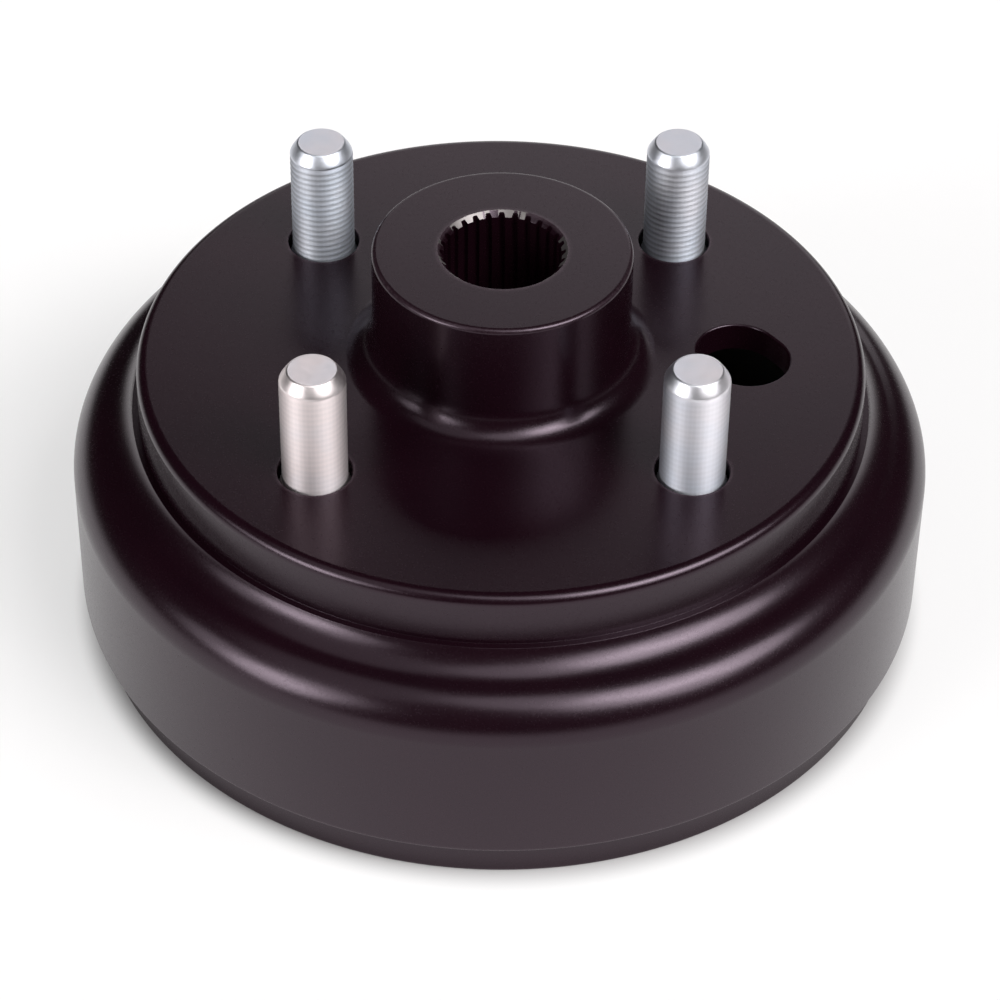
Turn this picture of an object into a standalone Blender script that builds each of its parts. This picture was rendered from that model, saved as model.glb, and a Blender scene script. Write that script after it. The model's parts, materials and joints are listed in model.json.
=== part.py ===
"""Rear brake drum with a splined hub and four pressed-in wheel studs, standing on its open rim.

The origin is the centre of the open rim's plane. +Z runs along the axle, towards the wheel.
"""

from math import acos, ceil, cos, pi, radians, sin

import bmesh
import bpy
from mathutils import Vector

MM = 0.001

# Brake ring: the braking bore, the skirt round it and the step at its open edge.
BRAKE_BORE_RADIUS = 80.0 * MM
BRAKE_BORE_DEPTH = 39.0 * MM
BRAKE_BORE_CORNER = 3.5 * MM
SKIRT_THICKNESS = 5.8 * MM
RIM_STEP_WIDTH = 2.9 * MM
RIM_STEP_HEIGHT = 8.4 * MM
EDGE_BREAK = 0.5 * MM

# Wheel flange: the face that the wheel sits on, its pilot wall, and the web behind it.
FLANGE_HEIGHT = 61.0 * MM
FLANGE_EDGE_RADIUS = 2.2 * MM
PILOT_WALL_HEIGHT = 11.1 * MM
WEB_THICKNESS = 6.0 * MM
SIDE_THICKNESS = 6.5 * MM
INNER_EDGE_RADIUS = 6.0 * MM
INNER_FILLET = 4.0 * MM

# Shoulder: a ledge under the pilot wall, then an S-curve out and down to the skirt.
LEDGE_WIDTH = 1.3 * MM
THROAT_RADIUS = 8.5 * MM
THROAT_START = radians(24.8)
SLOPE_ANGLE = radians(18)
SLOPE_LENGTH = 0.8 * MM
CROWN_RADIUS = 9.5 * MM

# Hub: the barrel on the wheel side, the boss inside the drum, and the spline through both.
HUB_RADIUS = 25.4 * MM
HUB_STANDOUT = 25.4 * MM
HUB_EDGE_RADIUS = 1.0 * MM
HUB_FILLET = 5.5 * MM
BOSS_RADIUS = 23.0 * MM
BOSS_LENGTH = 13.0 * MM
SPLINE_TEETH = 28
SPLINE_TIP_RADIUS = 11.5 * MM
SPLINE_TOOTH_DEPTH = 0.75 * MM
SPLINE_MOUTH_RELIEF = 0.35 * MM
SPLINE_TIP_SPACE = 0.54
SPLINE_ROOT_SPACE = 0.34

# Wheel studs: threaded end up, knurl in the web, head under it.
STUD_CIRCLE_RADIUS = 50.8 * MM
STUD_PLACES = ("rear_right", "rear_left", "front_left", "front_right")
STUD_RADIUS = 6.35 * MM
STUD_STANDOUT = 24.8 * MM
STUD_TIP_TAPER = 1.65 * MM
STUD_TIP_LENGTH = 2.8 * MM
STUD_KNURL_HEIGHT = 0.55 * MM
STUD_KNURL_LENGTH = 3.4 * MM
STUD_HEAD_OVERHANG = 2.3 * MM
STUD_HEAD_HEIGHT = 4.0 * MM
STUD_HEAD_CHAMFER = 0.8 * MM
SPOT_FACE_DEPTH = 0.4 * MM
SPOT_FACE_CLEARANCE = 1.0 * MM
FIT_GAP = 0.3 * MM

# Access slot through the web, for reaching the brake adjuster.
SLOT_DISTANCE = 47.8 * MM
SLOT_BEARING = radians(-1.5)
SLOT_TILT = radians(-52)
SLOT_RADIUS = 8.3 * MM
SLOT_REACH = 1.4 * MM

# Facets, and how far a cutter runs past what it cuts.
ARC_TOLERANCE = 0.08 * MM
FACETS_PER_TOOTH = 3
STUD_FACETS = 32
CUT_MARGIN = 2.0 * MM
SHARP_ANGLE = radians(24)

# Radii that follow from the sizes above.
SKIRT_RADIUS = BRAKE_BORE_RADIUS + SKIRT_THICKNESS
RIM_RADIUS = SKIRT_RADIUS - RIM_STEP_WIDTH
SPLINE_ROOT_RADIUS = SPLINE_TIP_RADIUS + SPLINE_TOOTH_DEPTH
SPLINE_MOUTH_RADIUS = SPLINE_ROOT_RADIUS + SPLINE_MOUTH_RELIEF
STUD_KNURL_RADIUS = STUD_RADIUS + STUD_KNURL_HEIGHT
STUD_HOLE_RADIUS = STUD_KNURL_RADIUS + FIT_GAP
STUD_HEAD_RADIUS = STUD_HOLE_RADIUS + STUD_HEAD_OVERHANG
SPOT_FACE_RADIUS = STUD_HEAD_RADIUS + SPOT_FACE_CLEARANCE

# Heights that follow from the sizes above.
HUB_TOP = FLANGE_HEIGHT + HUB_STANDOUT
LEDGE_HEIGHT = FLANGE_HEIGHT - PILOT_WALL_HEIGHT
WEB_UNDERSIDE = FLANGE_HEIGHT - WEB_THICKNESS
BOSS_END = WEB_UNDERSIDE - BOSS_LENGTH
SPOT_FACE_LEVEL = WEB_UNDERSIDE + SPOT_FACE_DEPTH
STUD_SEAT = SPOT_FACE_LEVEL - FIT_GAP

# The S-curve's two centres. It runs from the throat down the slope to the crown.
SLOPE_NORMAL = Vector((sin(SLOPE_ANGLE), cos(SLOPE_ANGLE)))
DOWNHILL = Vector((cos(SLOPE_ANGLE), -sin(SLOPE_ANGLE)))
THROAT_TO_CROWN = SLOPE_LENGTH * DOWNHILL - (CROWN_RADIUS + THROAT_RADIUS) * SLOPE_NORMAL
THROAT_HEIGHT = LEDGE_HEIGHT + THROAT_RADIUS * sin(THROAT_START)
CROWN_CENTRE = Vector((SKIRT_RADIUS - CROWN_RADIUS, THROAT_HEIGHT + THROAT_TO_CROWN.y))
THROAT_CENTRE = CROWN_CENTRE - THROAT_TO_CROWN
FLANGE_RADIUS = THROAT_CENTRE.x - THROAT_RADIUS * cos(THROAT_START) - LEDGE_WIDTH


def clear_scene():
    for obj in list(bpy.data.objects):
        bpy.data.objects.remove(obj, do_unlink=True)


def new_collection(name):
    collection = bpy.data.collections.new(name)
    bpy.context.scene.collection.children.link(collection)
    return collection


def new_object(name, mesh, collection):
    obj = bpy.data.objects.new(name, mesh)
    collection.objects.link(obj)
    return obj


def metal(name, colour, roughness, metallic):
    material = bpy.data.materials.new(name)
    material.use_nodes = True
    shader = material.node_tree.nodes["Principled BSDF"]
    shader.inputs["Base Color"].default_value = (*colour, 1)
    shader.inputs["Roughness"].default_value = roughness
    shader.inputs["Metallic"].default_value = metallic
    material.diffuse_color = (*colour, 1)
    return material


def arc(centre, radius, start, end):
    """Points along an arc, fine enough that its chords stay within ARC_TOLERANCE of it."""
    widest_step = 2 * acos(1 - ARC_TOLERANCE / max(radius, 2 * ARC_TOLERANCE))
    steps = max(2, ceil(abs(end - start) / widest_step))
    angles = [start + (end - start) * step / steps for step in range(steps + 1)]
    return [centre + radius * Vector((cos(angle), sin(angle))) for angle in angles]


def turned(name, profile, facets, collection):
    """A solid of revolution about Z from a closed profile of (radius, height) points."""
    mesh = bpy.data.meshes.new(name)
    points = [(radius, 0, height) for radius, height in profile]
    edges = [(i, (i + 1) % len(points)) for i in range(len(points))]
    mesh.from_pydata(points, edges, [])
    obj = new_object(name, mesh, collection)
    screw = obj.modifiers.new("Turn", "SCREW")
    screw.steps = screw.render_steps = facets
    screw.use_merge_vertices = True
    screw.merge_threshold = 0.01 * MM
    return obj


def prism(name, outline, bottom, top, collection):
    """An upright prism on a flat outline."""
    mesh = bpy.data.meshes.new(name)
    shape = bmesh.new()
    base = shape.faces.new([shape.verts.new((x, y, bottom)) for x, y in outline])
    raised = bmesh.ops.extrude_face_region(shape, geom=[base])["geom"]
    lifted = [item for item in raised if isinstance(item, bmesh.types.BMVert)]
    bmesh.ops.translate(shape, verts=lifted, vec=(0, 0, top - bottom))
    bmesh.ops.recalc_face_normals(shape, faces=shape.faces)
    shape.to_mesh(mesh)
    shape.free()
    return new_object(name, mesh, collection)


def settle(obj, material):
    """Turns the modifiers into the mesh, shades it smooth between its sharp edges and paints it."""
    graph = bpy.context.evaluated_depsgraph_get()
    mesh = bpy.data.meshes.new_from_object(obj.evaluated_get(graph))
    mesh.name = obj.name
    obj.modifiers.clear()
    obj.data = mesh
    mesh.shade_smooth()
    mesh.set_sharp_from_angle(angle=SHARP_ANGLE)
    mesh.materials.clear()
    mesh.materials.append(material)


def shoulder_profile():
    """The S-curve, from the ledge's outer edge down to the top of the skirt."""
    hollow = arc(THROAT_CENTRE, THROAT_RADIUS, pi + THROAT_START, 1.5 * pi - SLOPE_ANGLE)
    return hollow + arc(CROWN_CENTRE, CROWN_RADIUS, pi / 2 - SLOPE_ANGLE, 0)


def rim_profile():
    """The skirt's lower edge, the step, the open rim and the mouth of the braking bore."""
    return [
        (SKIRT_RADIUS, RIM_STEP_HEIGHT + EDGE_BREAK),
        (SKIRT_RADIUS - EDGE_BREAK, RIM_STEP_HEIGHT),
        (RIM_RADIUS, RIM_STEP_HEIGHT),
        (RIM_RADIUS, EDGE_BREAK),
        (RIM_RADIUS - EDGE_BREAK, 0),
        (BRAKE_BORE_RADIUS + EDGE_BREAK, 0),
        (BRAKE_BORE_RADIUS, EDGE_BREAK),
    ]


def wheel_side_profile():
    """The hub's end, its barrel and root fillet, the wheel face and the pilot wall to the ledge."""
    hub_edge = Vector((HUB_RADIUS - HUB_EDGE_RADIUS, HUB_TOP - HUB_EDGE_RADIUS))
    hub_root = Vector((HUB_RADIUS + HUB_FILLET, FLANGE_HEIGHT + HUB_FILLET))
    face_edge = Vector((FLANGE_RADIUS, FLANGE_HEIGHT)) - Vector((1, 1)) * FLANGE_EDGE_RADIUS
    return [
        (SPLINE_MOUTH_RADIUS, HUB_TOP),
        *arc(hub_edge, HUB_EDGE_RADIUS, pi / 2, 0),
        *arc(hub_root, HUB_FILLET, pi, 1.5 * pi),
        *arc(face_edge, FLANGE_EDGE_RADIUS, pi / 2, 0),
        (FLANGE_RADIUS, LEDGE_HEIGHT),
    ]


def brake_side_profile():
    """From the braking bore up to the web's underside, down the boss and up through its bore."""
    inner_wall = FLANGE_RADIUS - SIDE_THICKNESS
    bore_corner = Vector((BRAKE_BORE_RADIUS, BRAKE_BORE_DEPTH)) - Vector((1, 1)) * BRAKE_BORE_CORNER
    inner_edge = Vector((inner_wall, BRAKE_BORE_DEPTH)) + Vector((1, 1)) * INNER_EDGE_RADIUS
    web_corner = Vector((inner_wall, WEB_UNDERSIDE)) - Vector((1, 1)) * INNER_FILLET
    boss_root = Vector((BOSS_RADIUS + INNER_FILLET, WEB_UNDERSIDE - INNER_FILLET))
    mouth_depth = SPLINE_MOUTH_RADIUS - SPLINE_TIP_RADIUS
    return [
        *arc(bore_corner, BRAKE_BORE_CORNER, 0, pi / 2),
        *arc(inner_edge, INNER_EDGE_RADIUS, 1.5 * pi, pi),
        *arc(web_corner, INNER_FILLET, 0, pi / 2),
        *arc(boss_root, INNER_FILLET, pi / 2, pi),
        (BOSS_RADIUS, BOSS_END + EDGE_BREAK),
        (BOSS_RADIUS - EDGE_BREAK, BOSS_END),
        (SPLINE_MOUTH_RADIUS, BOSS_END),
        (SPLINE_TIP_RADIUS, BOSS_END + mouth_depth),
        (SPLINE_TIP_RADIUS, HUB_TOP - mouth_depth),
    ]


def spline_outline():
    """The broach that cuts the tooth spaces: each narrows outwards, from the tips to the roots."""
    pitch = 2 * pi / SPLINE_TEETH
    core_radius = SPLINE_TIP_RADIUS - FIT_GAP
    corners = (
        (core_radius, -SPLINE_TIP_SPACE / 2),
        (SPLINE_ROOT_RADIUS, -SPLINE_ROOT_SPACE / 2),
        (SPLINE_ROOT_RADIUS, SPLINE_ROOT_SPACE / 2),
        (core_radius, SPLINE_TIP_SPACE / 2),
    )
    return [
        (radius * cos((space + share) * pitch), radius * sin((space + share) * pitch))
        for space in range(SPLINE_TEETH)
        for radius, share in corners
    ]


def slot_outline():
    """The obround outline of the access slot, along X about its own centre."""
    right = arc(Vector((SLOT_REACH, 0)), SLOT_RADIUS, -pi / 2, pi / 2)
    left = arc(Vector((-SLOT_REACH, 0)), SLOT_RADIUS, pi / 2, 1.5 * pi)
    return right + left


def stud_angles():
    return [radians(45 + 90 * quarter) for quarter in range(len(STUD_PLACES))]


def on_stud_circle(angle):
    return STUD_CIRCLE_RADIUS * Vector((cos(angle), sin(angle), 0))


def circle(radius):
    return arc(Vector((0, 0)), radius, 0, 2 * pi)[:-1]


def add_cutters(collection):
    """The spline's broach, the stud holes with the spot faces for their heads, and the access slot."""
    prism("spline_broach", spline_outline(), BOSS_END - CUT_MARGIN, HUB_TOP + CUT_MARGIN, collection)

    below_web = WEB_UNDERSIDE - INNER_FILLET - CUT_MARGIN
    above_web = FLANGE_HEIGHT + CUT_MARGIN
    for place, angle in zip(STUD_PLACES, stud_angles()):
        hole = prism(f"stud_hole_{place}", circle(STUD_HOLE_RADIUS), below_web, above_web, collection)
        hole.location = on_stud_circle(angle)
        spot_face = prism(
            f"spot_face_{place}", circle(SPOT_FACE_RADIUS), below_web, SPOT_FACE_LEVEL, collection
        )
        spot_face.location = on_stud_circle(angle)

    slot = prism("access_slot", slot_outline(), below_web, above_web, collection)
    slot.location = SLOT_DISTANCE * Vector((cos(SLOT_BEARING), sin(SLOT_BEARING), 0))
    slot.rotation_euler.z = SLOT_TILT

    for cutter in collection.objects:
        cutter.hide_render = True
        cutter.display_type = "WIRE"


def add_drum(parts, cutters, paint):
    profile = wheel_side_profile() + shoulder_profile() + rim_profile() + brake_side_profile()
    drum = turned("drum_hub", profile, SPLINE_TEETH * FACETS_PER_TOOTH, parts)
    cut = drum.modifiers.new("Spline, holes and slot", "BOOLEAN")
    cut.operation = "DIFFERENCE"
    cut.solver = "EXACT"
    cut.operand_type = "COLLECTION"
    cut.collection = cutters
    bpy.context.view_layer.update()
    settle(drum, paint)
    return drum


def stud_profile():
    """Tip, threaded shank, knurl and head, with the stud's axis on Z."""
    tip = FLANGE_HEIGHT + STUD_STANDOUT
    knurl_top = STUD_SEAT + STUD_KNURL_LENGTH
    head_bottom = STUD_SEAT - STUD_HEAD_HEIGHT
    return [
        (0, tip),
        (STUD_RADIUS - STUD_TIP_TAPER, tip),
        (STUD_RADIUS, tip - STUD_TIP_LENGTH),
        (STUD_RADIUS, knurl_top + STUD_KNURL_HEIGHT),
        (STUD_KNURL_RADIUS, knurl_top),
        (STUD_KNURL_RADIUS, STUD_SEAT),
        (STUD_HEAD_RADIUS, STUD_SEAT),
        (STUD_HEAD_RADIUS, head_bottom + STUD_HEAD_CHAMFER),
        (STUD_HEAD_RADIUS - STUD_HEAD_CHAMFER, head_bottom),
        (0, head_bottom),
    ]


def add_studs(parts, steel):
    studs = []
    for place, angle in zip(STUD_PLACES, stud_angles()):
        stud = turned(f"wheel_stud_{place}", stud_profile(), STUD_FACETS, parts)
        stud.location = on_stud_circle(angle)
        stud.rotation_euler.z = angle
        settle(stud, steel)
        studs.append(stud)
    return studs


def main():
    clear_scene()
    parts = new_collection("brake_drum")
    cutters = new_collection("cutters")
    paint = metal("satin_black_paint", (0.020, 0.015, 0.017), 0.38, 0)
    steel = metal("bright_zinc_steel", (0.62, 0.63, 0.65), 0.28, 1)

    axle_axis = new_object("axle_axis", None, parts)
    add_cutters(cutters)
    for piece in [add_drum(parts, cutters, paint), *add_studs(parts, steel)]:
        piece.parent = axle_axis


main()
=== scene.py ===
import json
from math import ceil, cos, pi, radians, sin, tan

import bmesh
import bpy
from mathutils import Matrix, Vector, noise

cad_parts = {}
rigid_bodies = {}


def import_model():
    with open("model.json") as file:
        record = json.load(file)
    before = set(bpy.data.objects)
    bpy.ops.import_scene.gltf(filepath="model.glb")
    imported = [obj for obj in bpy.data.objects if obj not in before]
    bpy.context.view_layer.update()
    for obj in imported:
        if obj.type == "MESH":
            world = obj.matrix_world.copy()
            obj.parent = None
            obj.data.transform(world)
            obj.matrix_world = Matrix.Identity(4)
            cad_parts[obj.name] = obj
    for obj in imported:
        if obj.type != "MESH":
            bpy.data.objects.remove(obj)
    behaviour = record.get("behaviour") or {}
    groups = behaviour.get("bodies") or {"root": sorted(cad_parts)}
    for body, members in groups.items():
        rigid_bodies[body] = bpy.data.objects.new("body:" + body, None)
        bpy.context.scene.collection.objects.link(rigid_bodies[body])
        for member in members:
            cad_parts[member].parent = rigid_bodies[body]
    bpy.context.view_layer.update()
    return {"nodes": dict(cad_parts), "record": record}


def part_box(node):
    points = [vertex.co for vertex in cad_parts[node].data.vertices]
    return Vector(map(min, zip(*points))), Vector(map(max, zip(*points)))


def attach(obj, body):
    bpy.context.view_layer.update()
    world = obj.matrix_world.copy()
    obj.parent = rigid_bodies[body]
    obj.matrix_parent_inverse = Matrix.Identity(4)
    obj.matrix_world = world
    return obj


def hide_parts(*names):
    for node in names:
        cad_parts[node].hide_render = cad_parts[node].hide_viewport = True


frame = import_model()
mm = 0.001
samePoint = 0.001 * mm  # points closer than this count as one

# The frame gives the levels and the outer radius in mm, and the height of the studs' tips in metres
mountLevel = {mount["name"]: mount["pos_m"][2] / mm for mount in frame["record"]["mounts"]}
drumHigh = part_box("drum_hub")[1] / mm
studNodes = sorted(name for name in frame["nodes"] if name.startswith("wheel_stud"))
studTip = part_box(studNodes[0])[1].z
print("frame loaded:", len(frame["nodes"]), "nodes")


# Material helpers

def linearColour(hexCode):  # sRGB hex to the linear values that nodes take
    channels = [int(hexCode[i:i + 2], 16) / 255 for i in (1, 3, 5)]
    return [c / 12.92 if c <= 0.04045 else ((c + 0.055) / 1.055) ** 2.4 for c in channels] + [1]


def addNode(tree, kind, inputs, **settings):  # inputs take a value or another node's socket
    node = tree.nodes.new("ShaderNode" + kind)
    for setting, value in settings.items():
        setattr(node, setting, value)
    for socket, value in inputs.items():
        if isinstance(value, bpy.types.NodeSocket):
            tree.links.new(value, node.inputs[socket])
        else:
            node.inputs[socket].default_value = value
    return node


def newMaterial(name):
    material = bpy.data.materials.new(name)
    material.use_nodes = True
    return material, material.node_tree, material.node_tree.nodes["Principled BSDF"]


def perMillimetre(size):  # texture scale whose features are about this many mm across
    return 1 / (size * mm)


# Mesh helpers

def roundedOutline(bm, corners):  # closed wire through (radius, height, rounding) corners in mm
    verts = [bm.verts.new((radius * mm, 0, height * mm)) for radius, height, rounding in corners]
    for vert, nextVert in zip(verts, verts[1:] + verts[:1]):
        bm.edges.new((vert, nextVert))
    for vert, (radius, height, rounding) in zip(verts, corners):
        if rounding == 0:
            continue
        before, after = [edge.other_vert(vert).co - vert.co for edge in vert.link_edges]
        turn = pi - before.angle(after)
        arcStep = radians(3 if rounding > 3 else 12)  # large roundings carry the long highlights
        bmesh.ops.bevel(
            bm, geom=[vert], affect="VERTICES", offset=rounding * mm * tan(turn / 2),
            segments=ceil(turn / arcStep), profile=0.5, material=-1,
        )


def stackLoops(bm, levels, segments, reach=0, capTop=True):
    # round loops at (radius, height) levels, bridged from one to the next; reach draws them out along X
    loops = []
    for radius, height in levels:
        turned = Matrix.Translation((0, 0, height * mm)) @ Matrix.Rotation(pi / segments, 4, "Z")
        circle = bmesh.ops.create_circle(bm, segments=segments, radius=radius * mm, matrix=turned)["verts"]
        for vert in circle:
            vert.co.x += reach * mm if vert.co.x > 0 else -reach * mm
        loops.append(list(dict.fromkeys(edge for vert in circle for edge in vert.link_edges)))
    for lower, upper in zip(loops, loops[1:]):
        bmesh.ops.bridge_loops(bm, edges=lower + upper)
    for loop in [loops[0], loops[-1]] if capTop else [loops[0]]:
        bmesh.ops.edgeloop_fill(bm, edges=loop)
    return loops


def newPiece(name, bm, collection=None):
    bmesh.ops.recalc_face_normals(bm, faces=bm.faces)
    mesh = bpy.data.meshes.new(name)
    bm.to_mesh(mesh)
    bm.free()
    piece = bpy.data.objects.new(name, mesh)
    (collection or bpy.context.scene.collection).objects.link(piece)
    return piece


def shadePiece(piece, sharpAngle):  # smooth faces between sharp edges, with flat faces kept flat
    piece.data.shade_smooth()
    piece.data.set_sharp_from_angle(angle=radians(sharpAngle))
    weighted = piece.modifiers.new("Flat faces stay flat", "WEIGHTED_NORMAL")
    weighted.keep_sharp = True


# The drum: brake ring, shoulder, wheel flange and hub in one casting

drum = {
    "facets": 224,
    "skirt": drumHigh.x,
    "rimStep": (2.9, 8.4),
    "shoulderCorner": 43.0,
    "throatCorner": (74.94, 46.53),
    "ledge": (73.39, 49.9),
    "flange": 72.09,
    "face": mountLevel["wheel_face"],
    "hub": 25.4,
    "hubEnd": mountLevel["hub_end_face"],
    "boss": 23.0,
    "bossEnd": mountLevel["boss_end_face"],
    "brakeBore": 80.0,
    "brakeBoreDepth": 39.0,
    "innerWall": 65.59,
    "webUnderside": mountLevel["wheel_face"] - 6,  # the web is 6 mm thick
    "edgeBreak": 0.5,  # the rest are corner roundings
    "hubEdge": 1.0,
    "hubFillet": 5.5,
    "faceEdge": 2.2,
    "ledgeCorners": (0.05, 0.08),  # nearly sharp, so that no bright line runs along the ledge
    "throat": 8.0,
    "crown": 9.5,
    "rimCorner": 0.3,
    "boreCorner": 3.5,
    "innerEdge": 6.0,
    "innerFillet": 4.0,
    "mouthEdge": 0.12,
    "tipEdge": 0.1,
}

spline = {
    "teeth": 28,
    "samplesPerTooth": 16,
    "tip": 11.5,
    "root": 12.25,
    "mouth": 12.6,
    "rootShare": 0.17,  # half the space's width at the root, as a share of the pitch
    "tipShare": 0.27,
    "coreGap": 0.3,  # where a tooth stays, the cutter keeps this far inside its tip
    "chipSize": 3.6,  # the paint has chipped off the mouth's chamfer in patches of about this size
    "chipShift": 85.0,
    "chipLeast": 0.15,  # higher leaves more paint
}

hole = {
    "circle": 50.8,
    "radius": 7.2,
    "edgeRounding": 0.3,
    "spotFaceRadius": 10.5,
    "spotFaceDepth": 0.4,
    "segments": 72,
}

slot = {
    "distance": 47.8,
    "bearing": -1.5,
    "tilt": -52,
    "radius": 8.3,
    "reach": 1.4,
    "edgeRounding": 0.5,
}

cutterSizes = {
    "foot": drum["webUnderside"] - 6,  # in the open space under the web
    "overshoot": 2,  # past the surface that it cuts through
    "lift": 0.02,  # a flared edge ends this far above the face, not in its plane
    "flareSteps": 5,
}


# Satin black paint: sprayed and baked over the machined iron. Even and a little brown-purple,
# with a fine dry grain in the highlights and a paler tone along the turned edges, partly rub and partly
# painted highlight.

paint = {
    "deepTone": "#11040a",
    "paleTone": "#19070f",
    "wornTone": "#4b3e45",
    "sheenTone": "#ffe8fa",  # the coat's sheen is a little purple too
    "toneSpan": 21,
    "peelSize": 0.9,
    "grainSize": 0.42,  # a real coat's grain is finer: drawn coarser, so that it shows
    "roughness": (0.22, 0.28),
    "peelHeight": 0.004,
    "grainHeight": 0.0016,
    "ior": 1.5,
    "wearReach": (0.2, 0.9),  # full paler tone, rub and painted highlight, up to here from an edge, and none from here on
    "wearShare": 0.7,
    "sandSize": 1.6,
    "sandHeight": 0.12,
}
noiseSpan = (0.3, 0.7)  # nearly all of a noise texture lies between these


def edgeRubAndHighlight(tree, place, rings):  # rub and painted highlight along rings at (centre, radius, height) in mm
    # a centre is as far along X as along Y, and the quarters fold onto one, so the stud holes share a ring
    folded = addNode(tree, "VectorMath", {0: place}, operation="ABSOLUTE").outputs["Vector"]
    nearest = None
    for centre, radius, height in rings:
        middle, edge = (centre * mm, centre * mm, 0), (radius * mm, height * mm, 0)
        moved = addNode(tree, "VectorMath", {0: folded, 1: middle}, operation="SUBTRACT").outputs["Vector"]
        flat = addNode(tree, "VectorMath", {0: moved, 1: (1, 1, 0)}, operation="MULTIPLY").outputs["Vector"]
        reach = addNode(tree, "VectorMath", {0: flat}, operation="LENGTH").outputs["Value"]
        level = addNode(tree, "SeparateXYZ", {"Vector": moved}).outputs["Z"]
        section = addNode(tree, "CombineXYZ", {"X": reach, "Y": level}).outputs["Vector"]
        gap = addNode(tree, "VectorMath", {0: section, 1: edge}, operation="DISTANCE").outputs["Value"]
        if nearest:
            gap = addNode(tree, "Math", {0: nearest, 1: gap}, operation="MINIMUM").outputs["Value"]
        nearest = gap
    return addNode(tree, "MapRange", {
        "Value": nearest,
        "From Min": paint["wearReach"][0] * mm,
        "From Max": paint["wearReach"][1] * mm,
        "To Min": paint["wearShare"],
        "To Max": 0,
    }).outputs["Result"]


def paintedIron(name, rubAndHighlightRings, sandCast=False):
    material, tree, shader = newMaterial(name)
    place = addNode(tree, "TexCoord", {}).outputs["Object"]
    toneScale, grainScale = perMillimetre(paint["toneSpan"]), perMillimetre(paint["grainSize"])
    peelScale, sandScale = perMillimetre(paint["peelSize"]), perMillimetre(paint["sandSize"])
    tone = addNode(tree, "TexNoise", {"Vector": place, "Scale": toneScale, "Detail": 3})
    grain = addNode(tree, "TexNoise", {"Vector": place, "Scale": grainScale, "Detail": 2})
    peel = addNode(tree, "TexNoise", {"Vector": place, "Scale": peelScale, "Detail": 1})
    coat = addNode(tree, "MixRGB", {
        "Fac": tone.outputs["Fac"],
        "Color1": linearColour(paint["deepTone"]),
        "Color2": linearColour(paint["paleTone"]),
    }).outputs["Color"]
    if rubAndHighlightRings:
        rubAndHighlight = edgeRubAndHighlight(tree, place, rubAndHighlightRings)
        patchy = addNode(tree, "Math", {0: rubAndHighlight, 1: peel.outputs["Fac"]}, operation="MULTIPLY")
        # the rings get a paler tone: partly rub, partly a painted highlight on the edges
        coat = addNode(tree, "MixRGB", {
            "Fac": patchy.outputs["Value"],
            "Color1": coat,
            "Color2": linearColour(paint["wornTone"]),
        }).outputs["Color"]
    gloss = addNode(tree, "MapRange", {
        "Value": grain.outputs["Fac"],
        "From Min": noiseSpan[0],
        "From Max": noiseSpan[1],
        "To Min": paint["roughness"][0],
        "To Max": paint["roughness"][1],
    })
    bump = addNode(tree, "Bump", {"Height": peel.outputs["Fac"], "Distance": paint["peelHeight"] * mm})
    bump = addNode(tree, "Bump", {
        "Height": grain.outputs["Fac"],
        "Distance": paint["grainHeight"] * mm,
        "Normal": bump.outputs["Normal"],
    })
    if sandCast:
        sand = addNode(tree, "TexNoise", {"Vector": place, "Scale": sandScale, "Detail": 5})
        bump = addNode(tree, "Bump", {
            "Height": sand.outputs["Fac"],
            "Distance": paint["sandHeight"] * mm,
            "Normal": bump.outputs["Normal"],
        })
    tree.links.new(coat, shader.inputs["Base Color"])
    tree.links.new(gloss.outputs["Result"], shader.inputs["Roughness"])
    tree.links.new(bump.outputs["Normal"], shader.inputs["Normal"])
    shader.inputs["IOR"].default_value = paint["ior"]
    shader.inputs["Specular Tint"].default_value = linearColour(paint["sheenTone"])
    return material


turnedEdges = [
    (0, drum["hub"], drum["hubEnd"]),
    (0, spline["mouth"], drum["hubEnd"]),
    (0, drum["flange"], drum["face"]),
    (0, drum["skirt"], drum["rimStep"][1]),
    (0, drum["skirt"] - drum["rimStep"][0], 0),
    (hole["circle"] * cos(pi / 4), hole["radius"], drum["face"]),
]
satinPaint = paintedIron("satinBlackPaint", turnedEdges)
castPaint = paintedIron("blackPaintOnSandCasting", [], sandCast=True)


# Turned grey iron: the bare braking surface, and the bore's mouth where the paint has chipped off.
# Dull silver grey with fine rings from the turning tool.

turnedIron = {
    "darkTone": "#746f6e",
    "paleTone": "#969090",
    "feed": 0.35,  # the rings are drawn 2 pi times coarser, so that they show
    "grooveHeight": 0.006,
    "stainSize": 14,
    "roughness": (0.45, 0.6),
}


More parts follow.
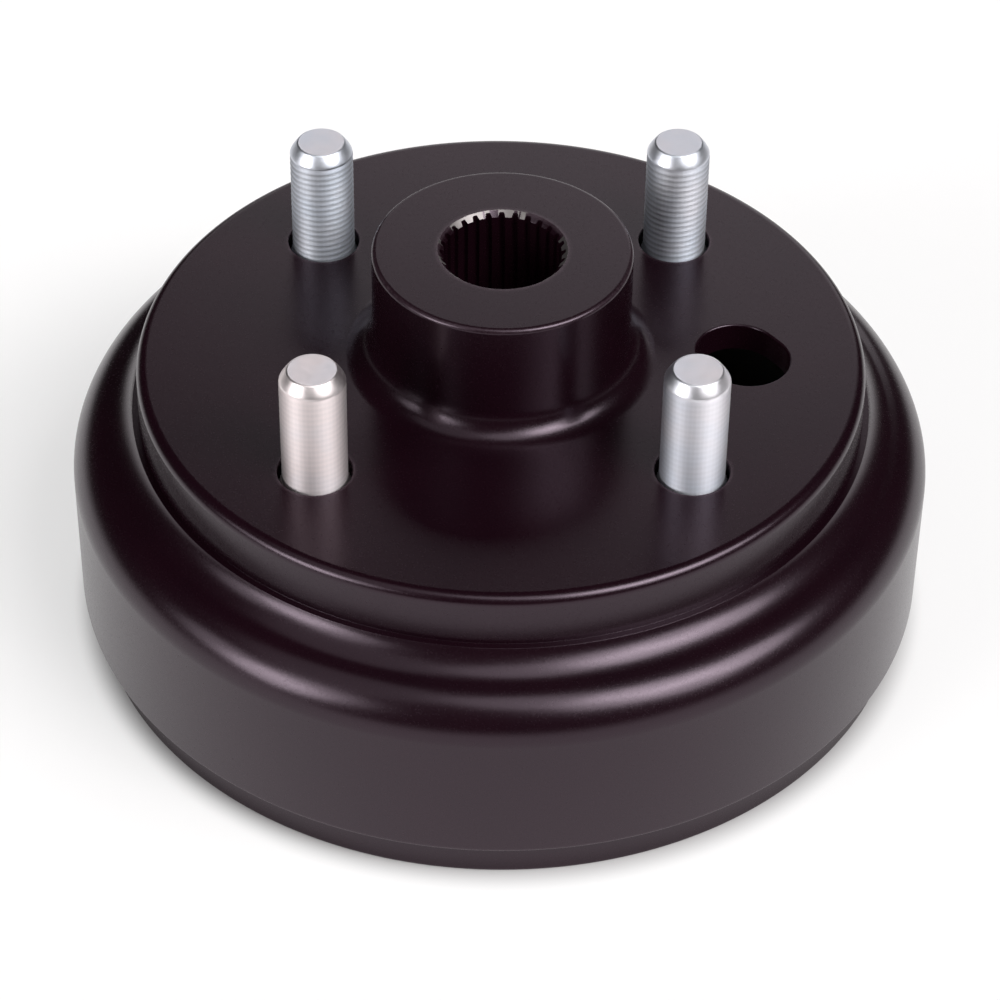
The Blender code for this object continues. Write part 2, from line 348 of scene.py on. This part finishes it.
def bareIron():
    material, tree, shader = newMaterial("turnedGreyIron")
    place = addNode(tree, "TexCoord", {}).outputs["Object"]
    rings = addNode(tree, "TexWave", {
        "Vector": place,
        "Scale": perMillimetre(turnedIron["feed"]) / 20,  # a wave of scale 1 runs 20 radians a metre
        "Distortion": 0.6,
        "Detail": 2,
        "Detail Scale": 0.4,
    }, bands_direction="Z")
    stainScale = perMillimetre(turnedIron["stainSize"])
    stain = addNode(tree, "TexNoise", {"Vector": place, "Scale": stainScale, "Detail": 6})
    tone = addNode(tree, "MixRGB", {
        "Fac": stain.outputs["Fac"],
        "Color1": linearColour(turnedIron["darkTone"]),
        "Color2": linearColour(turnedIron["paleTone"]),
    })
    gloss = addNode(tree, "MapRange", {
        "Value": stain.outputs["Fac"],
        "From Min": noiseSpan[0],
        "From Max": noiseSpan[1],
        "To Min": turnedIron["roughness"][0],
        "To Max": turnedIron["roughness"][1],
    })
    grooveHeight = turnedIron["grooveHeight"] * mm
    bump = addNode(tree, "Bump", {"Height": rings.outputs["Fac"], "Distance": grooveHeight})
    tree.links.new(tone.outputs["Color"], shader.inputs["Base Color"])
    tree.links.new(gloss.outputs["Result"], shader.inputs["Roughness"])
    tree.links.new(bump.outputs["Normal"], shader.inputs["Normal"])
    shader.inputs["Metallic"].default_value = 1
    return material


brakingIron = bareIron()
print("drum finishes made")


def drumCorners():
    skirt, face, mouth, tip = drum["skirt"], drum["face"], spline["mouth"], spline["tip"]
    rim = skirt - drum["rimStep"][0]
    mouthDepth = mouth - tip
    return [
        (mouth, drum["hubEnd"], drum["mouthEdge"]),
        (drum["hub"], drum["hubEnd"], drum["hubEdge"]),
        (drum["hub"], face, drum["hubFillet"]),
        (drum["flange"], face, drum["faceEdge"]),
        (drum["flange"], drum["ledge"][1], drum["ledgeCorners"][0]),
        (*drum["ledge"], drum["ledgeCorners"][1]),
        (*drum["throatCorner"], drum["throat"]),
        (skirt, drum["shoulderCorner"], drum["crown"]),
        (skirt, drum["rimStep"][1], drum["edgeBreak"]),
        (rim, drum["rimStep"][1], drum["rimCorner"]),
        (rim, 0, drum["edgeBreak"]),
        (drum["brakeBore"], 0, drum["edgeBreak"]),
        (drum["brakeBore"], drum["brakeBoreDepth"], drum["boreCorner"]),
        (drum["innerWall"], drum["brakeBoreDepth"], drum["innerEdge"]),
        (drum["innerWall"], drum["webUnderside"], drum["innerFillet"]),
        (drum["boss"], drum["webUnderside"], drum["innerFillet"]),
        (drum["boss"], drum["bossEnd"], drum["edgeBreak"]),
        (mouth, drum["bossEnd"], drum["mouthEdge"]),
        (tip, drum["bossEnd"] + mouthDepth, drum["tipEdge"]),
        (tip, drum["hubEnd"] - mouthDepth, drum["tipEdge"]),
    ]


def broach(collection):  # cuts the tooth spaces: widest at the tips, narrowing to the roots
    bm = bmesh.new()
    count = spline["teeth"] * spline["samplesPerTooth"]
    core = spline["tip"] - spline["coreGap"]
    disc = bmesh.ops.create_circle(bm, cap_ends=True, segments=count, radius=mm)["verts"]
    for vert in disc:
        share = (Vector((1, 0)).angle_signed(vert.co.xy) * spline["teeth"] / (2 * pi)) % 1
        share = min(share, 1 - share)
        rise = (spline["tipShare"] - share) / (spline["tipShare"] - spline["rootShare"])
        depth = max(0, min(1, rise)) * (spline["root"] - spline["tip"])
        vert.co *= spline["tip"] + depth if rise > 0 else core
    bmesh.ops.translate(bm, verts=bm.verts, vec=(0, 0, (drum["bossEnd"] - cutterSizes["overshoot"]) * mm))
    raised = bmesh.ops.extrude_face_region(bm, geom=bm.faces[:])["geom"]
    lifted = [item for item in raised if isinstance(item, bmesh.types.BMVert)]
    length = drum["hubEnd"] - drum["bossEnd"] + 2 * cutterSizes["overshoot"]
    bmesh.ops.translate(bm, verts=lifted, vec=(0, 0, length * mm))
    newPiece("broach", bm, collection)


def roundEdgedCutter(name, radius, reach, rounding, collection):  # its flared top rounds the hole's edge
    top = drum["face"] + cutterSizes["lift"]
    levels = [(radius, cutterSizes["foot"]), (radius, top - rounding)]
    for step in range(1, cutterSizes["flareSteps"] + 1):
        angle = pi / 2 * step / cutterSizes["flareSteps"]
        levels.append((radius + rounding * (1 - cos(angle)), top - rounding + rounding * sin(angle)))
    levels.append((radius + rounding, top + cutterSizes["overshoot"]))
    bm = bmesh.new()
    stackLoops(bm, levels, hole["segments"], reach)
    return newPiece(name, bm, collection)


def studAxis(node):
    low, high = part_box(node)
    return (low + high).xy / 2


def makeDrum():
    bm = bmesh.new()
    roundedOutline(bm, drumCorners())
    bmesh.ops.spin(
        bm, geom=bm.verts[:] + bm.edges[:], cent=(0, 0, 0), axis=(0, 0, 1),
        angle=2 * pi, steps=drum["facets"], use_merge=True,
    )
    bmesh.ops.remove_doubles(bm, verts=bm.verts, dist=samePoint)
    casting = newPiece("drumCasting", bm)

    cutters = bpy.data.collections.new("cutters")
    bpy.context.scene.collection.children.link(cutters)
    broach(cutters)
    for node in studNodes:
        axis = studAxis(node)
        stud = roundEdgedCutter("studHole", hole["radius"], 0, hole["edgeRounding"], cutters)
        stud.location = (axis.x, axis.y, 0)
        bm = bmesh.new()
        spotLevels = [
            (hole["spotFaceRadius"], cutterSizes["foot"]),
            (hole["spotFaceRadius"], drum["webUnderside"] + hole["spotFaceDepth"]),
        ]
        stackLoops(bm, spotLevels, hole["segments"])
        newPiece("spotFace", bm, cutters).location = (axis.x, axis.y, 0)
    access = roundEdgedCutter("accessSlot", slot["radius"], slot["reach"], slot["edgeRounding"], cutters)
    bearing = radians(slot["bearing"])
    access.location = Vector((cos(bearing), sin(bearing), 0)) * slot["distance"] * mm
    access.rotation_euler.z = radians(slot["tilt"])

    cut = casting.modifiers.new("Bore, holes and slot", "BOOLEAN")
    cut.operation = "DIFFERENCE"
    cut.operand_type = "COLLECTION"
    cut.collection = cutters
    cut.solver = "MANIFOLD"
    bpy.context.view_layer.update()
    cutMesh = bpy.data.meshes.new_from_object(casting.evaluated_get(bpy.context.evaluated_depsgraph_get()))
    casting.modifiers.clear()
    casting.data = cutMesh
    bm = bmesh.new()
    bm.from_mesh(cutMesh)
    bmesh.ops.dissolve_degenerate(bm, dist=samePoint, edges=bm.edges)  # slivers that the cuts leave
    bm.to_mesh(cutMesh)
    bm.free()
    for cutter in list(cutters.objects):
        bpy.data.objects.remove(cutter, do_unlink=True)
    bpy.data.collections.remove(cutters)
    return casting


def coatDrum(casting):
    # paint outside, painted sand casting inside, and bare iron where shoes rub or paint has chipped:
    # each face goes by its middle, with a margin in mm where a rounding or a chamfer follows
    casting.data.materials.clear()
    for material in (satinPaint, castPaint, brakingIron):
        casting.data.materials.append(material)
    for face in casting.data.polygons:
        radius, height = face.center.xy.length / mm, face.center.z / mm
        inBore = radius < spline["mouth"] + 0.2
        onMouth = inBore and face.normal.z > 0.3 and height > drum["face"]
        chipPlace = face.center / (spline["chipSize"] * mm) + Vector((spline["chipShift"], 0, 0))
        chipped = onMouth and noise.noise(chipPlace) > spline["chipLeast"]
        onRing = drum["innerWall"] < radius < drum["brakeBore"] + 0.5
        rubbed = onRing and height < drum["brakeBoreDepth"] - 3
        wall = drum["brakeBore"] if height < drum["brakeBoreDepth"] + 0.2 else drum["innerWall"]
        inside = height < drum["webUnderside"] + 0.5 and radius < wall + 1 and not inBore
        face.material_index = 2 if chipped or rubbed else 1 if inside else 0


casting = makeDrum()
coatDrum(casting)
shadePiece(casting, sharpAngle=32)
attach(casting, "root")
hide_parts("drum_hub")
print("drum made:", len(casting.data.polygons), "faces")


# Wheel studs: rolled thread, tapered end, knurl in the flange and a round head under it

stud = {
    "radius": 6.35,
    "pitch": 1.27,
    "threadDepth": 0.11,  # far less than a full thread's 0.8, so that it only just shows
    "threadLeft": (0.2, 0.2, 1, 0.9),  # share of that depth on each stud
    "plateWarmth": (1, 0.3, 0, 0.15),  # from the cool to the warm tone of zinc, on each stud
    "threadForm": (  # shares of the pitch and of the depth
        (0, 0), (0.12, 0.04), (0.24, 0.28), (0.36, 0.72), (0.48, 0.96),
        (0.56, 1), (0.68, 0.86), (0.80, 0.5), (0.92, 0.12), (1, 0),
    ),
    "stepsPerTurn": 48,
    "threadStart": 0.6,  # below the wheel face
    "threadTurns": (35, 118, 190, 262),  # degrees that each stud is pressed in at
    "taper": 1.65,
    "taperLength": 2.6,
    "taperCurve": 1.25,
    "endRounding": 0.22,
    "endSteps": ((0.1, 0.06), (0.3, 0)),  # its points, inwards from the taper's end and below the tip
    "knurlRadius": 6.9,
    "knurlDepth": 0.3,
    "knurlTeeth": 48,
    "knurlLength": 3.4,
    "headRadius": 9.5,
    "headHeight": 4.0,
    "headChamfer": 0.8,
    "headEdge": 0.2,
    "threadRunOut": 0.4,
    "knurlRunOut": 0.5,
}


# Bright zinc plate on rolled steel: pale silver, a little blue and a little warm in places. The fine
# thread throws highlights up and down the shank, so it has a tall soft sheen, and the sheared end is even.

zinc = {
    "coolTone": "#dfe4ee",
    "warmTone": "#f2e8e8",
    "toneDrift": 0.2,  # how far the tone wanders on one stud
    "endShare": 0.25,  # the sheared end keeps only this share of the stud's tint
    "rootTone": "#97989b",
    "rootShare": 0.45,
    "toneSpan": 9,
    "scratchSize": 0.25,
    "scratchStretch": 6,
    "scratchHeight": 0.003,
    "shankRoughness": (0.62, 0.7),
    "shankAnisotropy": 0.7,
    "endRoughness": (0.76, 0.84),
    "taperRoughness": (0.36, 0.42),
}


def zincPlate(name, roughness, warmth):
    material, tree, shader = newMaterial(name)
    place = addNode(tree, "TexCoord", {}).outputs["Object"]
    toneScale = perMillimetre(zinc["toneSpan"])
    tone = addNode(tree, "TexNoise", {"Vector": place, "Scale": toneScale, "Detail": 2})
    squeezed = addNode(tree, "Mapping", {"Vector": place, "Scale": (1, 1, zinc["scratchStretch"])})
    scratch = addNode(tree, "TexNoise", {
        "Vector": squeezed.outputs["Vector"],
        "Scale": perMillimetre(zinc["scratchSize"] * zinc["scratchStretch"]),
        "Detail": 3,
    })
    share = addNode(tree, "MapRange", {
        "Value": tone.outputs["Fac"],
        "From Min": noiseSpan[0],
        "From Max": noiseSpan[1],
        "To Min": warmth - zinc["toneDrift"],
        "To Max": warmth + zinc["toneDrift"],
    })
    plate = addNode(tree, "MixRGB", {
        "Fac": share.outputs["Result"],
        "Color1": linearColour(zinc["coolTone"]),
        "Color2": linearColour(zinc["warmTone"]),
    })
    gloss = addNode(tree, "MapRange", {
        "Value": scratch.outputs["Fac"],
        "From Min": noiseSpan[0],
        "From Max": noiseSpan[1],
        "To Min": roughness[0],
        "To Max": roughness[1],
    })
    scratchHeight = zinc["scratchHeight"] * mm
    bump = addNode(tree, "Bump", {"Height": scratch.outputs["Fac"], "Distance": scratchHeight})
    tree.links.new(plate.outputs["Color"], shader.inputs["Base Color"])
    tree.links.new(gloss.outputs["Result"], shader.inputs["Roughness"])
    tree.links.new(bump.outputs["Normal"], shader.inputs["Normal"])
    shader.inputs["Metallic"].default_value = 1
    return material


def greyRoots(material):  # thread roots are drawn greyer: the stud axes fold onto one for the radius
    tree = material.node_tree
    shader = tree.nodes["Principled BSDF"]
    plate = shader.inputs["Base Color"].links[0].from_socket
    place = addNode(tree, "TexCoord", {}).outputs["Object"]
    folded = addNode(tree, "VectorMath", {0: place}, operation="ABSOLUTE").outputs["Vector"]
    axis = hole["circle"] * cos(pi / 4) * mm
    middle = (axis, axis, 0)
    moved = addNode(tree, "VectorMath", {0: folded, 1: middle}, operation="SUBTRACT").outputs["Vector"]
    flat = addNode(tree, "VectorMath", {0: moved, 1: (1, 1, 0)}, operation="MULTIPLY").outputs["Vector"]
    reach = addNode(tree, "VectorMath", {0: flat}, operation="LENGTH").outputs["Value"]
    level = addNode(tree, "SeparateXYZ", {"Vector": place}).outputs["Z"]
    root = addNode(tree, "MapRange", {
        "Value": reach,
        "From Min": stud["radius"] * mm,
        "From Max": (stud["radius"] - stud["threadDepth"]) * mm,
        "To Max": zinc["rootShare"],
    })
    shank = addNode(tree, "MapRange", {
        "Value": level,
        "From Min": studTip - stud["taperLength"] * mm,
        "From Max": studTip - (stud["taperLength"] + stud["pitch"]) * mm,
    })
    factors = {0: root.outputs["Result"], 1: shank.outputs["Result"]}
    rootGreying = addNode(tree, "Math", factors, operation="MULTIPLY")
    colour = addNode(tree, "MixRGB", {
        "Fac": rootGreying.outputs["Value"],
        "Color1": plate,
        "Color2": linearColour(zinc["rootTone"]),
    })
    tree.links.new(colour.outputs["Color"], shader.inputs["Base Color"])


def studFinishes(place, warmth):
    # for the thread, the end and the taper, which is turned smooth and mirrors the lamps
    endWarmth = 0.5 + (warmth - 0.5) * zinc["endShare"]
    threadZinc = zincPlate("brightZincThread" + place, zinc["shankRoughness"], warmth)
    greyRoots(threadZinc)
    shader = threadZinc.node_tree.nodes["Principled BSDF"]
    shader.inputs["Anisotropic"].default_value = zinc["shankAnisotropy"]
    upright = addNode(threadZinc.node_tree, "CombineXYZ", {"Z": 1})
    threadZinc.node_tree.links.new(upright.outputs["Vector"], shader.inputs["Tangent"])
    endZinc = zincPlate("brightZincEnd" + place, zinc["endRoughness"], endWarmth)
    taperZinc = zincPlate("brightZincTaper" + place, zinc["taperRoughness"], warmth)
    return threadZinc, endZinc, taperZinc


def radialScale(vert, radius):
    vert.co.xy = vert.co.xy.normalized() * radius * mm


def openLoop(bm, height):  # the open edges that lie at this height
    return [
        edge for edge in bm.edges
        if edge.is_boundary and all(abs(vert.co.z - height * mm) < 10 * samePoint for vert in edge.verts)
    ]


def pullLoop(bm, loop, radius, height):  # extrudes an open loop to a new radius and height
    ring = bmesh.ops.extrude_edge_only(bm, edges=loop)["geom"]
    for vert in ring:
        if isinstance(vert, bmesh.types.BMVert):
            radialScale(vert, radius)
            vert.co.z = height * mm
    return [item for item in ring if isinstance(item, bmesh.types.BMEdge)]


def makeStud():  # on the Z axis, at its own height; each stud is a worn, turned and shifted copy
    low, high = (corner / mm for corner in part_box(studNodes[0]))
    tip, seat = high.z, low.z + stud["headHeight"]
    threadFoot = drum["face"] - stud["threadStart"]
    pitch = stud["pitch"]
    bm = bmesh.new()

    # the thread: one pitch of its form, spun and lifted turn after turn, with spare turns to cut off
    start = threadFoot - 2 * pitch
    turns = ceil((tip - start) / pitch) + 1
    wire = [
        bm.verts.new(((stud["radius"] - depth * stud["threadDepth"]) * mm, 0, (start + share * pitch) * mm))
        for share, depth in stud["threadForm"]
    ]
    for vert, nextVert in zip(wire, wire[1:]):
        bm.edges.new((vert, nextVert))
    bmesh.ops.spin(
        bm, geom=bm.verts[:] + bm.edges[:], cent=(0, 0, 0), axis=(0, 0, 1),
        dvec=(0, 0, pitch * mm / stud["stepsPerTurn"]),
        angle=2 * pi * turns, steps=stud["stepsPerTurn"] * turns,
    )
    bmesh.ops.remove_doubles(bm, verts=bm.verts, dist=2 * samePoint)
    endPlane = tip - stud["endRounding"]
    for height, side in ((threadFoot, -1), (endPlane, 1)):
        bmesh.ops.bisect_plane(
            bm, geom=bm.verts[:] + bm.edges[:] + bm.faces[:], dist=samePoint,
            plane_co=(0, 0, height * mm), plane_no=(0, 0, side), clear_outer=True,
        )

    # the tapered end cuts the thread off
    for vert in bm.verts:
        drop = (tip - vert.co.z / mm) / stud["taperLength"]
        if drop < 1:
            taper = stud["taper"] * (1 - drop) ** stud["taperCurve"]
            radialScale(vert, min(vert.co.xy.length / mm, stud["radius"] - taper))
    endRadius = stud["radius"] - stud["taper"]
    rim = openLoop(bm, endPlane)
    for inwards, below in stud["endSteps"]:
        rim = pullLoop(bm, rim, endRadius - inwards, tip - below)
    bmesh.ops.edgeloop_fill(bm, edges=rim)

    # the plain shank, the knurl and the head
    knurlTop = seat + stud["knurlLength"]
    shankRadius = stud["radius"] - stud["threadDepth"] / 2
    shankTop = threadFoot - stud["threadRunOut"]
    shank = pullLoop(bm, openLoop(bm, threadFoot), shankRadius, shankTop)
    headFoot = seat - stud["headHeight"]
    segments = stud["knurlTeeth"] * 2
    lower = stackLoops(bm, [
        (stud["headRadius"] - stud["headChamfer"], headFoot),
        (stud["headRadius"], headFoot + stud["headChamfer"]),
        (stud["headRadius"], seat - stud["headEdge"]),
        (stud["headRadius"] - stud["headEdge"], seat),
        (stud["knurlRadius"], seat),
        (stud["knurlRadius"], knurlTop),
        (shankRadius, knurlTop + stud["knurlRunOut"]),
    ], segments, capTop=False)
    for loop in lower[4:6]:
        ring = {vert for edge in loop for vert in edge.verts}
        ring = sorted(ring, key=lambda vert: vert.co.xy.angle_signed(Vector((1, 0))))
        for vert in ring[::2]:
            radialScale(vert, stud["knurlRadius"] - stud["knurlDepth"])
    bmesh.ops.bridge_loops(bm, edges=lower[-1] + shank)

    bmesh.ops.recalc_face_normals(bm, faces=bm.faces)
    return bm


studMesh = makeStud()
threadBottom, threadTop = drum["face"] - stud["threadStart"], studTip / mm - stud["taperLength"]
studVariants = zip(studNodes, stud["threadTurns"], stud["threadLeft"], stud["plateWarmth"])
for node, threadTurn, threadLeft, warmth in studVariants:
    axis = studAxis(node)
    bm = studMesh.copy()
    for vert in bm.verts:
        if threadBottom < vert.co.z / mm < threadTop:
            radialScale(vert, stud["radius"] - (stud["radius"] - vert.co.xy.length / mm) * threadLeft)
    bmesh.ops.rotate(bm, verts=bm.verts, matrix=Matrix.Rotation(radians(threadTurn), 3, "Z"))
    bmesh.ops.translate(bm, verts=bm.verts, vec=(axis.x, axis.y, 0))
    place = "".join(word.capitalize() for word in node.split("_")[2:])
    piece = newPiece("wheelStud" + place, bm)
    for material in studFinishes(place, warmth):
        piece.data.materials.append(material)
    for face in piece.data.polygons:
        tapered = face.center.z > studTip - stud["taperLength"] * mm
        flat = abs(face.normal.z) > 0.9
        face.material_index = 1 if flat else 2 if tapered else 0
    shadePiece(piece, sharpAngle=40)
    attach(piece, "root")
    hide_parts(node)
    print("stud made:", piece.name, len(piece.data.polygons), "faces")
studMesh.free()


# Stage: a pale floor that runs out of sight, a large softbox at the front right, made of four soft
# lamps, a low one of three at the front left, a pale panel behind and two fills from above.

stage = {
    "floorSize": 30.0,
    "floorDrop": 0.05,  # mm from the rim down to the paper, so that they share no plane
    "floorTone": "#b4b2b2",
    "floorGlow": 0.55,
    "darkUnder": (81, 89),  # painted shadow: no glow under the drum and a soft dark ring round its rim, full glow from here out, in mm from its axis
    "farEdge": (260, 620),  # the lit paper ends here, so that the drum's sides stay deep black
    "studioTone": "#808080",
    "studioLevel": 0.05,
}


def makeFloor():
    bm = bmesh.new()
    bmesh.ops.create_grid(bm, x_segments=1, y_segments=1, size=stage["floorSize"] / 2)
    bmesh.ops.translate(bm, verts=bm.verts, vec=(0, 0, -stage["floorDrop"] * mm))
    floor = newPiece("floor", bm)
    material, tree, shader = newMaterial("floorPaper")
    shader.inputs["Roughness"].default_value = 0.9
    shader.inputs["Base Color"].default_value = linearColour(stage["floorTone"])
    shader.inputs["Emission Color"].default_value = linearColour("#ffffff")
    # the paper glows only where it is seen or mirrored, so its glow gives the drum no diffuse light
    sight = addNode(tree, "LightPath", {})
    seen = sight.outputs["Is Camera Ray"]
    for ray in ("Is Glossy Ray", "Is Transmission Ray"):
        seen = addNode(tree, "Math", {0: seen, 1: sight.outputs[ray]}, operation="MAXIMUM").outputs["Value"]
    place = addNode(tree, "TexCoord", {}).outputs["Object"]
    away = addNode(tree, "VectorMath", {0: place}, operation="LENGTH")
    # the glow fades out under and around the drum: a painted shadow
    clear = addNode(tree, "MapRange", {
        "Value": away.outputs["Value"],
        "From Min": stage["darkUnder"][0] * mm,
        "From Max": stage["darkUnder"][1] * mm,
        "To Max": stage["floorGlow"],
    }, interpolation_type="SMOOTHSTEP")
    lit = addNode(tree, "MapRange", {
        "Value": away.outputs["Value"],
        "From Min": stage["farEdge"][1] * mm,
        "From Max": stage["farEdge"][0] * mm,
        "To Max": clear.outputs["Result"],
    }, interpolation_type="SMOOTHSTEP")
    glow = addNode(tree, "Math", {0: seen, 1: lit.outputs["Result"]}, operation="MULTIPLY")
    tree.links.new(glow.outputs["Value"], shader.inputs["Emission Strength"])
    floor.data.materials.append(material)


makeFloor()

# bearing is counted from +X towards +Y and width is the lamp's apparent width, all in degrees
lamps = {
    "rightLow": {"bearing": 322, "height": 36, "width": 24, "strength": 0.68},
    "rightHigh": {"bearing": 316, "height": 52, "width": 24, "strength": 0.93},
    "rightFront": {"bearing": 304, "height": 44, "width": 24, "strength": 0.57},
    "rightEdge": {"bearing": 340, "height": 40, "width": 24, "strength": 0.93},
    "frontFill": {"bearing": 284, "height": 62, "width": 30, "strength": 0.4},
    "leftLow": {"bearing": 214, "height": 16, "width": 24, "strength": 0.93},
    "leftEdge": {"bearing": 198, "height": 20, "width": 24, "strength": 0.25},
    "leftHigh": {"bearing": 222, "height": 26, "width": 24, "strength": 0.43},
    "leftFill": {"bearing": 216, "height": 58, "width": 40, "strength": 0.21},
    "backPanel": {"bearing": 83, "height": 20, "width": 40, "strength": 0.42},
}
for name, lamp in lamps.items():
    light = bpy.data.lights.new(name, "SUN")
    light.angle = radians(lamp["width"])
    light.energy = lamp["strength"]
    lampObject = bpy.data.objects.new(name, light)
    bearing, height = radians(lamp["bearing"]), radians(lamp["height"])
    towards = Vector((cos(bearing) * cos(height), sin(bearing) * cos(height), sin(height)))
    lampObject.location = towards
    lampObject.rotation_euler = (-towards).to_track_quat("-Z", "Y").to_euler()
    bpy.context.scene.collection.objects.link(lampObject)

world = bpy.data.worlds.new("studio")
bpy.context.scene.world = world
world.use_nodes = True
studioAir = world.node_tree.nodes["Background"]
studioAir.inputs["Color"].default_value = linearColour(stage["studioTone"])
studioAir.inputs["Strength"].default_value = stage["studioLevel"]

# Camera: looks down on the drum from the front, a little left of its middle

view = {
    "at": (-0.01208, -0.55880, 0.51578),
    "heading": 1.254,
    "down": 41.479,
    "roll": 0.783,
    "lens": 131.06,
}
camera = bpy.data.objects.new("camera", bpy.data.cameras.new("camera"))
camera.data.lens = view["lens"]
camera.data.clip_start = 0.01
camera.matrix_world = (
    Matrix.Translation(view["at"])
    @ Matrix.Rotation(-radians(view["heading"]), 4, "Z")
    @ Matrix.Rotation(radians(90 - view["down"]), 4, "X")
    @ Matrix.Rotation(radians(view["roll"]), 4, "Z")
)
bpy.context.scene.collection.objects.link(camera)
bpy.context.scene.camera = camera
bpy.context.scene.view_settings.view_transform = "Standard"
print("stage, lamps and camera set")
